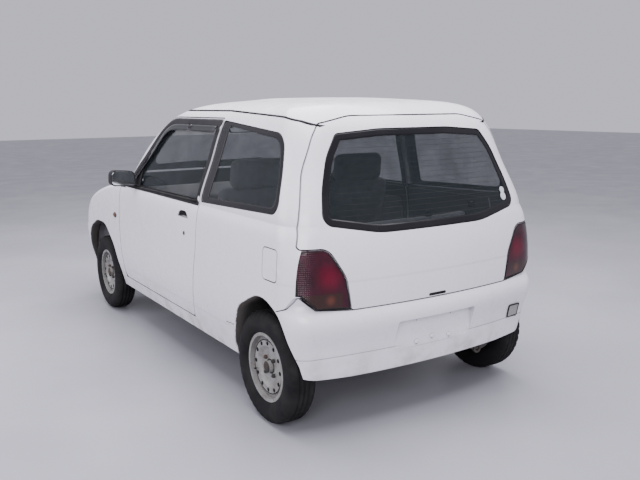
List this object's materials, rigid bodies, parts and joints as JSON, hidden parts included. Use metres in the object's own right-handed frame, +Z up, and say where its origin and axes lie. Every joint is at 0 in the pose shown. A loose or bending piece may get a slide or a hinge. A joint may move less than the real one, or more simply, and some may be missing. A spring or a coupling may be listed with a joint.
{
  "type": "kei hatchback",
  "caption": "Small right-hand-drive hatchback car with side doors, rear hatch, hood, steered front wheels and steel rims.",
  "frame": {"origin": "on the ground, in the middle of the car's length and width", "axes": "+Z up, +Y towards the rear of the car, +X towards its left side"},
  "size_m": [1.7404, 3.395, 1.4749],
  "materials": {
    "body_paint": "gloss",
    "glass": "gloss",
    "black_plastic": "satin",
    "red_lens": "gloss",
    "cabin_plastic": "matt",
    "seat_cloth": "woven",
    "chassis_paint": "satin",
    "engine_metal": "cast",
    "rubber": "matt",
    "wheel_paint": "satin"
  },
  "bodies": {
    "root": {"floor_pan": "chassis_paint", "sills": "body_paint", "quarter_left": "body_paint", "quarter_right": "body_paint", "quarter_glasses": "glass", "roof_panel": "body_paint", "windscreen": "glass", "front_pillars": "body_paint", "fenders": "body_paint", "headlamps": "glass", "nose_panel": "body_paint", "front_bumper": "body_paint", "tail_lamps": "red_lens", "rear_bumper": "body_paint", "wheel_houses": "chassis_paint", "bulkhead": "chassis_paint", "front_seats": "seat_cloth", "rear_seat": "seat_cloth", "dashboard": "cabin_plastic", "steering_wheel": "cabin_plastic", "engine_block": "engine_metal", "fuel_tank": "chassis_paint", "exhaust": "chassis_paint", "front_suspension": "chassis_paint", "rear_axle": "chassis_paint"},
    "left_door": {"door_left": "body_paint", "door_glass_left": "glass", "mirror_left": "black_plastic"},
    "right_door": {"door_right": "body_paint", "door_glass_right": "glass", "mirror_right": "black_plastic"},
    "hood": {"hood": "body_paint"},
    "hatch": {"hatch": "body_paint", "hatch_glass": "glass"},
    "fuel_flap": {"fuel_lid": "body_paint"},
    "left_knuckle": {"knuckle_left": "chassis_paint"},
    "right_knuckle": {"knuckle_right": "chassis_paint"},
    "front_left_wheel": {"tyre_front_left": "rubber", "rim_front_left": "wheel_paint"},
    "front_right_wheel": {"tyre_front_right": "rubber", "rim_front_right": "wheel_paint"},
    "rear_left_wheel": {"tyre_rear_left": "rubber", "rim_rear_left": "wheel_paint"},
    "rear_right_wheel": {"tyre_rear_right": "rubber", "rim_rear_right": "wheel_paint"}
  },
  "joints": [
    {"name": "left_door_hinge", "type": "hinge", "parent": "root", "child": "left_door", "pos_m": [0.7385, -0.612, 0.6], "axis": [0, 0, -1], "range_deg": [0, 65]},
    {"name": "right_door_hinge", "type": "hinge", "parent": "root", "child": "right_door", "pos_m": [-0.7385, -0.612, 0.6], "axis": [0, 0, 1], "range_deg": [0, 65]},
    {"name": "hood_hinge", "type": "hinge", "parent": "root", "child": "hood", "pos_m": [0, -0.646, 0.941], "axis": [-1, 0, 0], "range_deg": [0, 50]},
    {"name": "hatch_hinge", "type": "hinge", "parent": "root", "child": "hatch", "pos_m": [0, 1.455, 1.399], "axis": [1, 0, 0], "range_deg": [0, 78]},
    {"name": "fuel_flap_hinge", "type": "hinge", "parent": "root", "child": "fuel_flap", "pos_m": [0.737, 1.357, 0.768], "axis": [0, 0, -1], "range_deg": [0, 100]},
    {"name": "left_steer", "type": "hinge", "parent": "root", "child": "left_knuckle", "pos_m": [0.612, -1.038, 0.185], "axis": [-0.2079, 0, 0.9781], "range_deg": [-35, 35]},
    {"name": "right_steer", "type": "hinge", "parent": "root", "child": "right_knuckle", "pos_m": [-0.612, -1.038, 0.185], "axis": [0.2079, 0, 0.9781], "range_deg": [-35, 35]},
    {"name": "front_left_spin", "type": "hinge", "parent": "left_knuckle", "child": "front_left_wheel", "pos_m": [0.65, -1.038, 0.262], "axis": [1, 0, 0], "continuous": true},
    {"name": "front_right_spin", "type": "hinge", "parent": "right_knuckle", "child": "front_right_wheel", "pos_m": [-0.65, -1.038, 0.262], "axis": [1, 0, 0], "continuous": true},
    {"name": "rear_left_spin", "type": "hinge", "parent": "root", "child": "rear_left_wheel", "pos_m": [0.645, 1.302, 0.262], "axis": [1, 0, 0], "continuous": true},
    {"name": "rear_right_spin", "type": "hinge", "parent": "root", "child": "rear_right_wheel", "pos_m": [-0.645, 1.302, 0.262], "axis": [1, 0, 0], "continuous": true}
  ],
  "couplings": [
    {"joint": "right_steer", "follows": "left_steer", "ratio": 1}
  ]
}
